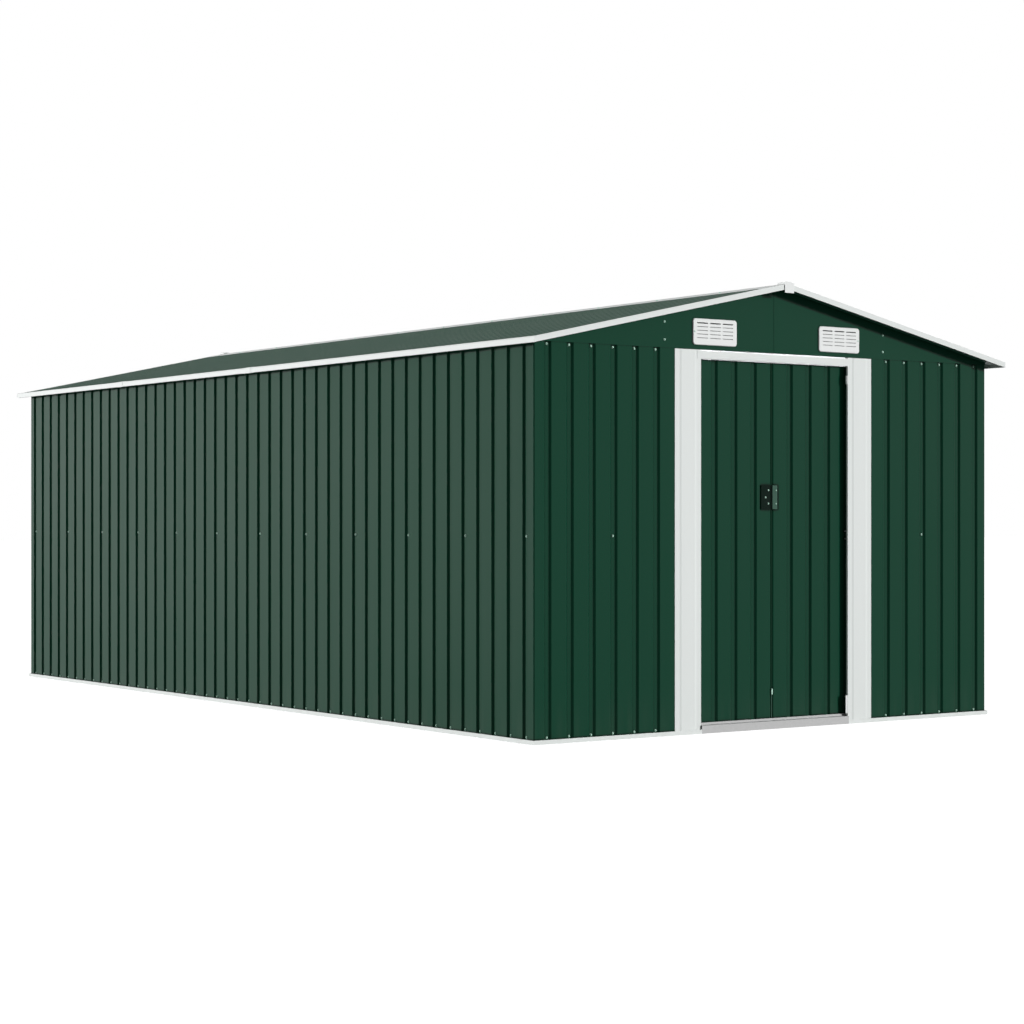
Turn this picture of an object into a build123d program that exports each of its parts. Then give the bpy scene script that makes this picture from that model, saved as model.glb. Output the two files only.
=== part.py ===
# Metal storage shed: grooved sheet walls on a base rail, a low ridged roof and two sliding door leaves.
# Millimetres. X runs along the front from left to right, Y from the front to the back, Z up.
# The origin is on the ground at the middle of the plan, and the doors face -Y.
from build123d import *
from math import atan2, cos, radians, sin, tan
import os

# Plan and heights above the ground
wall_width = 2456.0
wall_length = 4758.0
wall_top = 1553.0
gable_low = 1547.0
roof_pitch = 12.07
roof_above_wall = 13.0
eave_overhang = 50.0
gable_overhang = 74.5

# Sheet gauges
sheet = 1.0
rail_sheet = 1.5

# Pressed grooves of the wall, roof and door sheets
side_pitch = 105.5
front_pitch = 106.7
front_first_groove = 65.0
groove_mouth = 36.0
groove_floor = 20.0
groove_depth = 7.5
corner_return = 30.0
corner_bend = 3.0
bend_steps = 3

# Base rail, the channel that the wall sheets stand in
base_lip_height = 17.0
base_lip_out = 8.0
base_upstand = 45.0

# Inner rails, ridge beam and purlins
mid_rail_middle = 798.0
mid_rail_height = 40.0
mid_rail_depth = 18.0
front_rail_depth = 12.0
mid_rail_lip = 8.0
top_rail_low = 1515.0
top_rail_flange = 26.0
ridge_beam_half = 42.0
ridge_beam_web = 14.0
purlin_height = 38.0
purlin_flange = 28.0
purlin_place = 614.0

# Doorway
opening_width = 803.0
jamb_width = 135.0
jamb_flange = 24.0
jamb_step = 1.5
jamb_slant = 9.0
jamb_top = 1545.5
header_low = 1510.0
header_height = 32.5
header_lap = 20.0
track_above_header = 16.0
track_plate_drop = 18.0
threshold_height = 41.5
threshold_back = 25.0
threshold_lip = 9.0

# Sliding leaves
move_clear = 5.2
seat_gap = 0.3
leaf_lap = 28.0
meeting_gap = 5.2
leaf_low = 12.0
leaf_edge = 15.0
leaf_bend = 9.0
leaf_first_groove = 99.0
leaf_pitch = 104.8
leaf_grooves = 3
brace_height = 30.0
brace_low = 48.0
brace_margin = 6.0

# Rollers, hangers and bottom guides
roller_radius = 8.0
roller_width = 6.5
roller_inset = 0.8
axle_radius = 3.0
hanger_thickness = 2.0
hanger_width = 44.0
hanger_drop = 70.0
hanger_places = (51.0, 361.0)
guide_width = 40.0
guide_height = 30.0
guide_depth = 14.0

# Handles at the meeting edges
handle_middle = 954.0
handle_height = 102.0
handle_corner = 3.0
pull_start = 5.0
pull_width = 56.0
pull_depth = 4.0
pull_rim = 4.0
pull_floor = 2.5
grip_start = 0.2
grip_plate_width = 34.8
grip_plate = 3.0
grip_width = 17.3
grip_height = 98.0
grip_depth = 13.0

# Gable sheets and vents
gable_seam_x = 3.0
gable_lap = 15.0
vent_left_x = -331.5
vent_right_x = 348.0
vent_middle_z = 1618.0
vent_width = 230.0
vent_height = 106.0
vent_depth = 6.0
vent_wall = 3.0
vent_corner = 13.0
vent_edge = 2.0
vent_side_border = 21.0
vent_end_border = 10.0
vent_columns = 3
slot_bar_x = 12.0
plain_slot = 4.5
hooded_slot = 3.0
slot_pitch_z = 15.0
slot_first_z = 28.0
hooded_rows = 4
slot_tilt = 38.0

# Roof edge trims, ridge cap and its end caps
trim_drop = 22.0
trim_lap = 20.0
trim_lip = 11.0
ridge_gap = 3.0
ridge_cap_half = 105.0
end_cap_width = 50.0
end_cap_shift = 5.5
end_cap_height = 47.0
end_cap_rise = 8.5
end_cap_plate = 3.0
end_cap_length = 45.0

# Values worked out from the sizes above
half_width = wall_width / 2
half_length = wall_length / 2
front_face = -half_length
slope_tan = tan(radians(roof_pitch))
slope_cos = cos(radians(roof_pitch))
roof_half = half_width + eave_overhang
roof_end = half_length + gable_overhang
press_depth = groove_depth + sheet
rail_inside = press_depth + rail_sheet
groove_shift = sheet * tan(atan2(groove_depth, (groove_mouth - groove_floor) / 2) / 2)
opening_half = opening_width / 2
side_rail_end = half_length - 2 * sheet
mid_rail_inside = press_depth + mid_rail_depth
slot_half = hanger_thickness / 2 + move_clear
roller_face = slot_half + roller_inset
track_half = roller_face + roller_width + move_clear
hanger_plane = rail_inside + track_half
leaf_setback = hanger_plane - hanger_thickness / 2 - sheet
leaf_face = front_face + leaf_setback
track_low = header_low + track_above_header
track_height = 2 * rail_sheet + seat_gap + 2 * roller_radius + move_clear
leaf_top = track_low - move_clear
axle_height = track_low + rail_sheet + seat_gap + roller_radius
leaf_inner_edge = meeting_gap / 2
leaf_outer_edge = opening_half + leaf_lap


def roof_height(x):
    # Height of the roof's pan faces at a distance x from the middle of the plan
    return wall_top + roof_above_wall + (half_width - abs(x)) * slope_tan


def under_roof(x):
    # Height of the undersides of the roof's grooves
    return roof_height(x) - press_depth / slope_cos


def even_grooves(start, end, pitch):
    # Groove centres spread evenly about the middle of a sheet
    count = int((end - start) / pitch)
    first = (start + end) / 2 - (count - 1) * pitch / 2
    return [first + n * pitch for n in range(count)]


def bent_end(edge, side, length, bend, depth):
    # Points round the bent end of a sheet, from its tip to the flat, at a depth below its face
    middle = edge - side * bend
    reach = bend - depth
    points = [(edge - side * depth, length)]
    for n in range(bend_steps + 1):
        turn = radians(90 * n / bend_steps)
        points.append((middle + side * reach * cos(turn), bend - reach * sin(turn)))
    return points


def pressed_outline(start, end, centres, bent=0.0, bend=0.0):
    # Outline of a pressed sheet as (along, depth) points, its two ends bent back by the length given
    outer = bent_end(start, -1, bent, bend, 0) if bent else [(start, 0)]
    inner = bent_end(start, -1, bent, bend, sheet) if bent else [(start, sheet)]
    for centre in centres:
        for side in (-1, 1):
            mouth = centre + side * groove_mouth / 2
            floor = centre + side * groove_floor / 2
            shift = side * groove_shift
            outer += [(mouth, 0), (floor, groove_depth)][::-side]
            inner += [(mouth + shift, sheet), (floor + shift, press_depth)][::-side]
    outer += bent_end(end, 1, bent, bend, 0)[::-1] if bent else [(end, 0)]
    inner += bent_end(end, 1, bent, bend, sheet)[::-1] if bent else [(end, sheet)]
    return outer + inner[::-1]


def save(part, name):
    part.label = name
    export_step(part, f"parts/{name}.step")


os.makedirs("parts", exist_ok=True)

# Base rails, mitred where they meet at the corners of the plan
rail_x = half_width + base_lip_out
rail_y = half_length + base_lip_out
channel_width = base_lip_out + rail_inside
channel_points = [
    (0, base_lip_height),
    (0, 0),
    (channel_width, 0),
    (channel_width, base_upstand),
]
mitre_front_left = Plane(origin=(-rail_x, -rail_y, 0), z_dir=(-1, 1, 0))
mitre_front_right = Plane(origin=(rail_x, -rail_y, 0), z_dir=(1, 1, 0))
mitre_back_left = Plane(origin=(-rail_x, rail_y, 0), z_dir=(-1, -1, 0))

with BuildPart() as base_rail_left:
    with BuildSketch(Plane.XZ.offset(rail_y)):
        with BuildLine():
            Polyline(*[(x - rail_x, z) for x, z in channel_points])
            offset(amount=rail_sheet, side=Side.LEFT, kind=Kind.INTERSECTION)
        make_face()
    extrude(amount=-2 * rail_y)
    split(bisect_by=mitre_front_left, keep=Keep.TOP)
    split(bisect_by=mitre_back_left, keep=Keep.TOP)
save(base_rail_left.part, "base_rail_left")

with BuildPart() as base_rail_right:
    mirror(base_rail_left.part, about=Plane.YZ)
save(base_rail_right.part, "base_rail_right")

with BuildPart() as base_rail_back:
    with BuildSketch(Plane.YZ.offset(-rail_x)):
        with BuildLine():
            Polyline(*[(y - rail_y, z) for y, z in channel_points])
            offset(amount=rail_sheet, side=Side.LEFT, kind=Kind.INTERSECTION)
        make_face()
    extrude(amount=2 * rail_x)
    split(bisect_by=mitre_front_left, keep=Keep.BOTTOM)
    split(bisect_by=mitre_front_right, keep=Keep.BOTTOM)
    mirror(about=Plane.XZ, mode=Mode.REPLACE)
save(base_rail_back.part, "base_rail_back")

# The front rail stops at the doorway, so it is a piece on each side
with BuildPart() as base_rails_front:
    with BuildSketch(Plane.YZ.offset(-rail_x)):
        with BuildLine():
            Polyline(*[(y - rail_y, z) for y, z in channel_points])
            offset(amount=rail_sheet, side=Side.LEFT, kind=Kind.INTERSECTION)
        make_face()
    extrude(amount=rail_x - opening_half)
    split(bisect_by=mitre_front_left, keep=Keep.BOTTOM)
    mirror(about=Plane.YZ)
save(base_rails_front.part, "base_rails_front")

# Wall sheets stand on the foot of the rail, and the side sheets bend round behind the end sheets
wall_height = wall_top - rail_sheet
side_end = half_length - sheet
end_sheet_x = half_width - corner_bend

with BuildPart() as left_wall:
    with BuildSketch(Plane.XY.offset(rail_sheet)):
        grooves = even_grooves(-side_end, side_end, side_pitch)
        outline = pressed_outline(-side_end, side_end, grooves, corner_return, corner_bend)
        with BuildLine():
            Polyline(*[(depth - half_width, along) for along, depth in outline], close=True)
        make_face()
    extrude(amount=wall_height)
save(left_wall.part, "left_wall")

with BuildPart() as right_wall:
    mirror(left_wall.part, about=Plane.YZ)
save(right_wall.part, "right_wall")

with BuildPart() as back_wall:
    with BuildSketch(Plane.XY.offset(rail_sheet)):
        grooves = even_grooves(-half_width, half_width, front_pitch)
        outline = pressed_outline(-end_sheet_x, end_sheet_x, grooves)
        with BuildLine():
            Polyline(*[(along, half_length - depth) for along, depth in outline], close=True)
        make_face()
    extrude(amount=wall_height)
save(back_wall.part, "back_wall")

front_sheet_end = -opening_half - sheet
front_panel = half_width - opening_half - jamb_width
front_count = int((front_panel - front_first_groove) / front_pitch) + 1
front_start = front_first_groove - half_width

with BuildPart() as front_wall_left:
    with BuildSketch(Plane.XY.offset(rail_sheet)):
        grooves = [front_start + n * front_pitch for n in range(front_count)]
        outline = pressed_outline(-end_sheet_x, front_sheet_end, grooves)
        with BuildLine():
            Polyline(*[(along, front_face + depth) for along, depth in outline], close=True)
        make_face()
    extrude(amount=wall_height)
save(front_wall_left.part, "front_wall_left")

with BuildPart() as front_wall_right:
    mirror(front_wall_left.part, about=Plane.YZ)
save(front_wall_right.part, "front_wall_right")

# Door jambs: a shallow hat over the edge of the front sheet, returned into the doorway
jamb_start = -opening_half - jamb_width
flange_face = front_face - sheet
band_face = flange_face - jamb_step
with BuildPart() as door_jamb_left:
    with BuildSketch(Plane.XY.offset(rail_sheet)):
        with BuildLine():
            Polyline(
                (jamb_start, flange_face),
                (jamb_start + jamb_flange, flange_face),
                (jamb_start + jamb_flange + jamb_slant, band_face),
                (-opening_half - jamb_flange - jamb_slant, band_face),
                (-opening_half - jamb_flange, flange_face),
                (-opening_half, flange_face),
                (-opening_half, front_face + press_depth),
            )
            offset(amount=sheet, side=Side.LEFT, kind=Kind.INTERSECTION)
        make_face()
    extrude(amount=jamb_top - rail_sheet)
save(door_jamb_left.part, "door_jamb_left")

with BuildPart() as door_jamb_right:
    mirror(door_jamb_left.part, about=Plane.YZ)
save(door_jamb_right.part, "door_jamb_right")

# Header: a channel between the jambs, its face lapping their flanges
header_face = flange_face - sheet
header_top = header_low + header_height
with BuildPart() as door_header:
    with BuildSketch(Plane.YZ.offset(-opening_half)):
        with BuildLine():
            Polyline(
                (front_face + press_depth, header_low),
                (header_face, header_low),
                (header_face, header_top),
                (front_face + press_depth, header_top),
            )
            offset(amount=sheet, side=Side.RIGHT, kind=Kind.INTERSECTION)
        make_face()
    extrude(amount=opening_width)
    with BuildSketch(Plane.XZ.offset(-flange_face)):
        with Locations((0, header_low + header_height / 2)):
            Rectangle(opening_width + 2 * header_lap, header_height)
    extrude(amount=sheet)
save(door_header.part, "door_header")

# Top track: a channel with a slot below for the hangers, and a plate that backs the header
track_front = front_face + press_depth
track_back = track_front + 2 * (rail_sheet + track_half)
track_top = track_low + track_height
hanger_y = front_face + hanger_plane
track_end = half_width - rail_inside
with BuildPart() as door_top_track:
    with BuildSketch(Plane.YZ.offset(-track_end)):
        with BuildLine():
            Polyline(
                (hanger_y - slot_half, track_low),
                (track_front, track_low),
                (track_front, track_top),
                (track_back, track_top),
                (track_back, track_low),
                (hanger_y + slot_half, track_low),
            )
            offset(amount=rail_sheet, side=Side.RIGHT, kind=Kind.INTERSECTION)
        make_face()
        with Locations((track_front + rail_sheet / 2, track_low - track_plate_drop / 2)):
            Rectangle(rail_sheet, track_plate_drop)
    extrude(amount=2 * track_end)
save(door_top_track.part, "door_top_track")

# Threshold: the bottom track behind the front wall, with a step in the doorway that ends in a kick face
threshold_front = leaf_face - move_clear - rail_sheet
threshold_kick = front_face - base_lip_out
threshold_step = threshold_height - threshold_lip
with BuildPart() as door_threshold:
    with BuildSketch(Plane.YZ.offset(-track_end)):
        with BuildLine():
            Polyline(
                (threshold_front, threshold_height),
                (threshold_front, 0),
                (track_back, 0),
                (track_back, threshold_back),
            )
            offset(amount=rail_sheet, side=Side.LEFT, kind=Kind.INTERSECTION)
        make_face()
    extrude(amount=2 * track_end)
    with BuildSketch(Plane.YZ.offset(-opening_half)):
        with BuildLine():
            Polyline(
                (threshold_front, threshold_step),
                (threshold_kick, threshold_step),
                (threshold_kick, 0),
            )
            offset(amount=rail_sheet, side=Side.LEFT, kind=Kind.INTERSECTION)
        make_face()
    extrude(amount=opening_width)
save(door_threshold.part, "door_threshold")

# Mid rails: lipped channels behind the groove floors, half way up the walls
rail_low = mid_rail_middle - mid_rail_height / 2
rail_high = mid_rail_middle + mid_rail_height / 2


def lipped_channel(depth):
    # Points of a lipped channel as (depth, height), its web against the groove floors
    return [
        (press_depth + depth, rail_low + mid_rail_lip),
        (press_depth + depth, rail_low),
        (press_depth, rail_low),
        (press_depth, rail_high),
        (press_depth + depth, rail_high),
        (press_depth + depth, rail_high - mid_rail_lip),
    ]


with BuildPart() as mid_rails_side:
    with BuildSketch(Plane.XZ.offset(side_rail_end)):
        with BuildLine():
            Polyline(*[(x - half_width, z) for x, z in lipped_channel(mid_rail_depth)])
            offset(amount=rail_sheet, side=Side.RIGHT, kind=Kind.INTERSECTION)
        make_face()
    extrude(amount=-2 * side_rail_end)
    mirror(about=Plane.YZ)
save(mid_rails_side.part, "mid_rails_side")

back_rail_end = half_width - mid_rail_inside
with BuildPart() as mid_rail_back:
    with BuildSketch(Plane.YZ.offset(-back_rail_end)):
        with BuildLine():
            Polyline(*[(half_length - y, z) for y, z in lipped_channel(mid_rail_depth)])
            offset(amount=rail_sheet, side=Side.LEFT, kind=Kind.INTERSECTION)
        make_face()
    extrude(amount=2 * back_rail_end)
save(mid_rail_back.part, "mid_rail_back")

with BuildPart() as mid_rails_front:
    with BuildSketch(Plane.YZ.offset(-back_rail_end)):
        with BuildLine():
            Polyline(*[(front_face + y, z) for y, z in lipped_channel(front_rail_depth)])
            offset(amount=rail_sheet, side=Side.RIGHT, kind=Kind.INTERSECTION)
        make_face()
    extrude(amount=back_rail_end - opening_half - sheet)
    mirror(about=Plane.YZ)
save(mid_rails_front.part, "mid_rails_front")

# Top rails: angles behind the top of the walls, with a flange under the roof
top_rail_x = half_width - press_depth
with BuildPart() as top_rails_side:
    with BuildSketch(Plane.XZ.offset(side_rail_end)):
        with BuildLine():
            Polyline(
                (-top_rail_x, top_rail_low),
                (-top_rail_x, under_roof(top_rail_x)),
                (top_rail_flange - top_rail_x, under_roof(top_rail_x - top_rail_flange)),
            )
            offset(amount=rail_sheet, side=Side.RIGHT, kind=Kind.INTERSECTION)
        make_face()
    extrude(amount=-2 * side_rail_end)
    mirror(about=Plane.YZ)
save(top_rails_side.part, "top_rails_side")

top_rail_y = half_length - press_depth
with BuildPart() as top_rail_back:
    with BuildSketch(Plane.YZ.offset(-track_end)):
        with BuildLine():
            Polyline(
                (top_rail_y, top_rail_low),
                (top_rail_y, wall_top),
                (top_rail_y - top_rail_flange, wall_top),
            )
            offset(amount=rail_sheet, side=Side.LEFT, kind=Kind.INTERSECTION)
        make_face()
    extrude(amount=2 * track_end)
save(top_rail_back.part, "top_rail_back")

# Ridge beam and purlins run from gable to gable under the roof sheets
with BuildPart() as ridge_beam:
    with BuildSketch(Plane.XZ.offset(half_length)):
        with BuildLine():
            Polyline(
                (-ridge_beam_half, under_roof(ridge_beam_half) - ridge_beam_web),
                (-ridge_beam_half, under_roof(ridge_beam_half)),
                (0, under_roof(0)),
                (ridge_beam_half, under_roof(ridge_beam_half)),
                (ridge_beam_half, under_roof(ridge_beam_half) - ridge_beam_web),
            )
            offset(amount=rail_sheet, side=Side.RIGHT, kind=Kind.INTERSECTION)
        make_face()
    extrude(amount=-wall_length)
save(ridge_beam.part, "ridge_beam")

purlin_low = under_roof(purlin_place) - purlin_height
with BuildPart() as purlin_left:
    with BuildSketch(Plane.XZ.offset(half_length)):
        with BuildLine():
            Polyline(
                (purlin_flange - purlin_place, under_roof(purlin_place - purlin_flange)),
                (-purlin_place, under_roof(purlin_place)),
                (-purlin_place, purlin_low),
                (purlin_flange - purlin_place, purlin_low),
            )
            offset(amount=rail_sheet, side=Side.LEFT, kind=Kind.INTERSECTION)
        make_face()
    extrude(amount=-wall_length)
save(purlin_left.part, "purlin_left")

with BuildPart() as purlin_right:
    mirror(purlin_left.part, about=Plane.YZ)
save(purlin_right.part, "purlin_right")

# Gable sheets lie on the front and back walls, cut through behind each vent, and the left one laps the right
vent_inside_width = vent_width - 2 * vent_side_border
vent_inside_height = vent_height - 2 * vent_end_border
gable_join_x = gable_seam_x - gable_lap


def gable_corners(start, end):
    # Corners of a gable between two places along the front, with its top edge under the roof
    low = [(start, gable_low), (end, gable_low)]
    ridge = [(0, under_roof(0))] if start < 0 < end else []
    return low + [(end, under_roof(end))] + ridge + [(start, under_roof(start))]


def gable_half(start, end, vent_x):
    # The gable sheet between two places along the front, with the hole behind its vent
    with BuildPart() as half:
        with BuildSketch(Plane.XZ.offset(half_length)):
            with BuildLine():
                Polyline(*gable_corners(start, end), close=True)
            make_face()
            with Locations((vent_x, vent_middle_z)):
                Rectangle(vent_inside_width, vent_inside_height, mode=Mode.SUBTRACT)
        extrude(amount=sheet)
    return half.part


left_gable_sheet = gable_half(-half_width, gable_join_x, vent_left_x)
with BuildPart() as front_gable_left:
    add(left_gable_sheet)
    with BuildSketch(Plane.XZ.offset(half_length + sheet)):
        with BuildLine():
            Polyline(*gable_corners(gable_join_x - sheet, gable_seam_x), close=True)
        make_face()
    extrude(amount=sheet)
save(front_gable_left.part, "front_gable_left")

front_gable_right = gable_half(gable_join_x, half_width, vent_right_x)
save(front_gable_right, "front_gable_right")

with BuildPart() as back_gable_left:
    mirror(front_gable_left.part, about=Plane.XZ)
save(back_gable_left.part, "back_gable_left")

with BuildPart() as back_gable_right:
    mirror(front_gable_right, about=Plane.XZ)
save(back_gable_right.part, "back_gable_right")

# Vents: thin plastic louvres over the cut-outs in the gables, with a plain row of slots above hooded ones
slot_pitch_x = (vent_inside_width + slot_bar_x) / vent_columns
slot_width = slot_pitch_x - slot_bar_x
hood_drop = vent_depth * tan(radians(slot_tilt))
hooded_middle = slot_first_z - vent_height / 2 + (hooded_rows - 1) * slot_pitch_z / 2
plain_row = slot_first_z - vent_height / 2 + hooded_rows * slot_pitch_z


def gable_vent(middle_x):
    # A vent on the front gable: a shallow rounded tray, open behind, with rows of slots in its face
    back = Plane(origin=(middle_x, flange_face, vent_middle_z), x_dir=(1, 0, 0), z_dir=(0, -1, 0))
    with BuildPart() as vent:
        with BuildSketch(back):
            RectangleRounded(vent_width, vent_height, vent_corner)
        extrude(amount=vent_depth)
        chamfer(vent.faces().sort_by(Axis.Y)[0].edges(), vent_edge)
        with BuildSketch(back):
            RectangleRounded(
                vent_width - 2 * vent_wall, vent_height - 2 * vent_wall, vent_corner - vent_wall
            )
        extrude(amount=vent_depth - vent_wall, mode=Mode.SUBTRACT)
        with BuildSketch(back):
            with Locations((0, plain_row)):
                with GridLocations(slot_pitch_x, 0, vent_columns, 1):
                    Rectangle(slot_width, plain_slot)
        extrude(amount=vent_depth, mode=Mode.SUBTRACT)
        with BuildSketch(back):
            with Locations((0, hooded_middle + hood_drop)):
                with GridLocations(slot_pitch_x, slot_pitch_z, vent_columns, hooded_rows):
                    Rectangle(slot_width, hooded_slot)
        extrude(
            amount=(vent_depth + vent_wall) / cos(radians(slot_tilt)),
            dir=(0, -1, -tan(radians(slot_tilt))),
            mode=Mode.SUBTRACT,
        )
    return vent.part


vent_front_left = gable_vent(vent_left_x)
save(vent_front_left, "vent_front_left")
vent_front_right = gable_vent(vent_right_x)
save(vent_front_right, "vent_front_right")

with BuildPart() as vent_back_left:
    mirror(vent_front_left, about=Plane.XZ)
save(vent_back_left.part, "vent_back_left")

with BuildPart() as vent_back_right:
    mirror(vent_front_right, about=Plane.XZ)
save(vent_back_right.part, "vent_back_right")

# Roof sheets, with grooves from ridge to eave
eave_start = roof_half - sheet
up_slope = Plane(
    origin=(-eave_start, 0, roof_height(eave_start)),
    x_dir=(0, 1, 0),
    z_dir=(slope_cos, 0, slope_cos * slope_tan),
)
with BuildPart() as roof_left:
    with BuildSketch(up_slope):
        sheet_end = roof_end - sheet
        grooves = even_grooves(-sheet_end, sheet_end, side_pitch)
        outline = pressed_outline(-sheet_end, sheet_end, grooves)
        with BuildLine():
            Polyline(*[(along, -depth) for along, depth in outline], close=True)
        make_face()
    extrude(amount=(eave_start - ridge_gap) / slope_cos)
save(roof_left.part, "roof_left")

with BuildPart() as roof_right:
    mirror(roof_left.part, about=Plane.YZ)
save(roof_right.part, "roof_right")

# Edge trims: folded channels round the edges of the roof sheets, mitred at the eaves
edge_mitre_front = Plane(origin=(-roof_half, -roof_end, 0), z_dir=(-1, 1, 0))
edge_mitre_back = Plane(origin=(-roof_half, roof_end, 0), z_dir=(-1, -1, 0))
trim_top = sheet / slope_cos
eave_top = roof_height(roof_half) + trim_top
eave_low = eave_top - trim_drop / slope_cos

with BuildPart() as eave_trim_left:
    with BuildSketch(Plane.XZ.offset(roof_end)):
        with BuildLine():
            Polyline(
                (trim_lap - roof_half, eave_top + trim_lap * slope_tan),
                (-roof_half, eave_top),
                (-roof_half, eave_low),
                (trim_lip - roof_half, eave_low),
            )
            offset(amount=sheet, side=Side.LEFT, kind=Kind.INTERSECTION)
        make_face()
    extrude(amount=-2 * roof_end)
    split(bisect_by=edge_mitre_front, keep=Keep.TOP)
    split(bisect_by=edge_mitre_back, keep=Keep.TOP)
save(eave_trim_left.part, "eave_trim_left")

with BuildPart() as eave_trim_right:
    mirror(eave_trim_left.part, about=Plane.YZ)
save(eave_trim_right.part, "eave_trim_right")

trim_plane = Plane(
    origin=(-roof_half - trim_lap, 0, roof_height(roof_half + trim_lap)),
    x_dir=(0, 1, 0),
    z_dir=(slope_cos, 0, slope_cos * slope_tan),
)
with BuildPart() as gable_trim_front_left:
    with BuildSketch(trim_plane):
        with BuildLine():
            Polyline(
                (trim_lap - roof_end, sheet),
                (-roof_end, sheet),
                (-roof_end, sheet - trim_drop),
                (trim_lip - roof_end, sheet - trim_drop),
            )
            offset(amount=sheet, side=Side.LEFT, kind=Kind.INTERSECTION)
        make_face()
    extrude(amount=(roof_half + 2 * trim_lap) / slope_cos)
    split(bisect_by=edge_mitre_front, keep=Keep.BOTTOM)
    split(bisect_by=Plane.YZ, keep=Keep.BOTTOM)
save(gable_trim_front_left.part, "gable_trim_front_left")

with BuildPart() as gable_trim_front_right:
    mirror(gable_trim_front_left.part, about=Plane.YZ)
save(gable_trim_front_right.part, "gable_trim_front_right")

with BuildPart() as gable_trim_back_left:
    mirror(gable_trim_front_left.part, about=Plane.XZ)
save(gable_trim_back_left.part, "gable_trim_back_left")

with BuildPart() as gable_trim_back_right:
    mirror(gable_trim_front_right.part, about=Plane.XZ)
save(gable_trim_back_right.part, "gable_trim_back_right")

# Ridge cap between the gable trims, and an end cap over each end of the ridge
cap_end = roof_end - trim_lap
with BuildPart() as ridge_cap:
    with BuildSketch(Plane.XZ.offset(cap_end)):
        with BuildLine():
            Polyline(
                (-ridge_cap_half, roof_height(ridge_cap_half)),
                (0, roof_height(0)),
                (ridge_cap_half, roof_height(ridge_cap_half)),
                (ridge_cap_half, roof_height(ridge_cap_half) + trim_top),
                (0, roof_height(0) + trim_top),
                (-ridge_cap_half, roof_height(ridge_cap_half) + trim_top),
                close=True,
            )
        make_face()
    extrude(amount=-2 * cap_end)
save(ridge_cap.part, "ridge_cap")

cap_left = end_cap_shift - end_cap_width / 2
cap_right = end_cap_shift + end_cap_width / 2
end_top = roof_height(0) + trim_top + end_cap_rise
end_low = end_top - end_cap_height
with BuildPart() as ridge_end_caps:
    with BuildSketch(Plane.XZ.offset(roof_end)):
        with BuildLine():
            Polyline(
                (cap_left, end_low),
                (cap_right, end_low),
                (cap_right, end_top - cap_right * slope_tan),
                (0, end_top),
                (cap_left, end_top + cap_left * slope_tan),
                close=True,
            )
        make_face()
    extrude(amount=end_cap_plate)
    with BuildSketch(Plane.XZ.offset(roof_end)):
        with BuildLine():
            Polyline(
                (cap_left, roof_height(cap_left) + trim_top),
                (0, roof_height(0) + trim_top),
                (cap_right, roof_height(cap_right) + trim_top),
                (cap_right, end_top - cap_right * slope_tan),
                (0, end_top),
                (cap_left, end_top + cap_left * slope_tan),
                close=True,
            )
        make_face()
    extrude(amount=-end_cap_length)
    mirror(about=Plane.XZ)
save(ridge_end_caps.part, "ridge_end_caps")

# Door leaves: pressed sheets with bent edges, stiffened by flat braces across the back
with BuildPart() as right_door_panel:
    with BuildSketch(Plane.XY.offset(leaf_low)):
        grooves = [leaf_first_groove + n * leaf_pitch for n in range(leaf_grooves)]
        outline = pressed_outline(leaf_inner_edge, leaf_outer_edge, grooves, leaf_edge, leaf_bend)
        with BuildLine():
            Polyline(*[(along, leaf_face + depth) for along, depth in outline], close=True)
        make_face()
    extrude(amount=leaf_top - leaf_low)
    brace_places = [
        brace_low + brace_height / 2,
        handle_middle,
        leaf_top - brace_margin - brace_height / 2,
    ]
    with BuildSketch(Plane.XZ.offset(-leaf_face - press_depth)):
        for place in brace_places:
            with Locations(((leaf_inner_edge + leaf_outer_edge) / 2, place)):
                Rectangle(leaf_outer_edge - leaf_inner_edge - 2 * sheet, brace_height)
    extrude(amount=press_depth - leaf_edge)
save(right_door_panel.part, "right_door_panel")

with BuildPart() as left_door_panel:
    mirror(right_door_panel.part, about=Plane.YZ)
save(left_door_panel.part, "left_door_panel")

# Rollers: each hanger is a plate with an axle and a roller on either side of the slot
leaf_inside = leaf_face + sheet
hanger_low = leaf_top - hanger_drop
hanger_top = axle_height + roller_radius
with BuildPart() as right_door_rollers:
    with BuildSketch(Plane.XZ.offset(-leaf_inside)):
        for place in hanger_places:
            with Locations((place, (hanger_low + axle_height) / 2)):
                Rectangle(hanger_width, axle_height - hanger_low)
            with Locations((place, axle_height)):
                Circle(roller_radius)
    extrude(amount=-hanger_thickness)
    for side in (-1, 1):
        with BuildSketch(Plane.XZ.offset(-hanger_y - side * hanger_thickness / 2)):
            for place in hanger_places:
                with Locations((place, axle_height)):
                    Circle(axle_radius)
        extrude(amount=-side * (roller_face + roller_width - hanger_thickness / 2))
        with BuildSketch(Plane.XZ.offset(-hanger_y - side * roller_face)):
            for place in hanger_places:
                with Locations((place, axle_height)):
                    Circle(roller_radius)
        extrude(amount=-side * roller_width)
    with BuildSketch(Plane.XZ.offset(-leaf_inside)):
        for place in hanger_places:
            with Locations((place, rail_sheet + move_clear + guide_height / 2)):
                Rectangle(guide_width, guide_height)
    extrude(amount=-guide_depth)
save(right_door_rollers.part, "right_door_rollers")

with BuildPart() as left_door_rollers:
    mirror(right_door_rollers.part, about=Plane.YZ)
save(left_door_rollers.part, "left_door_rollers")

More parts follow.
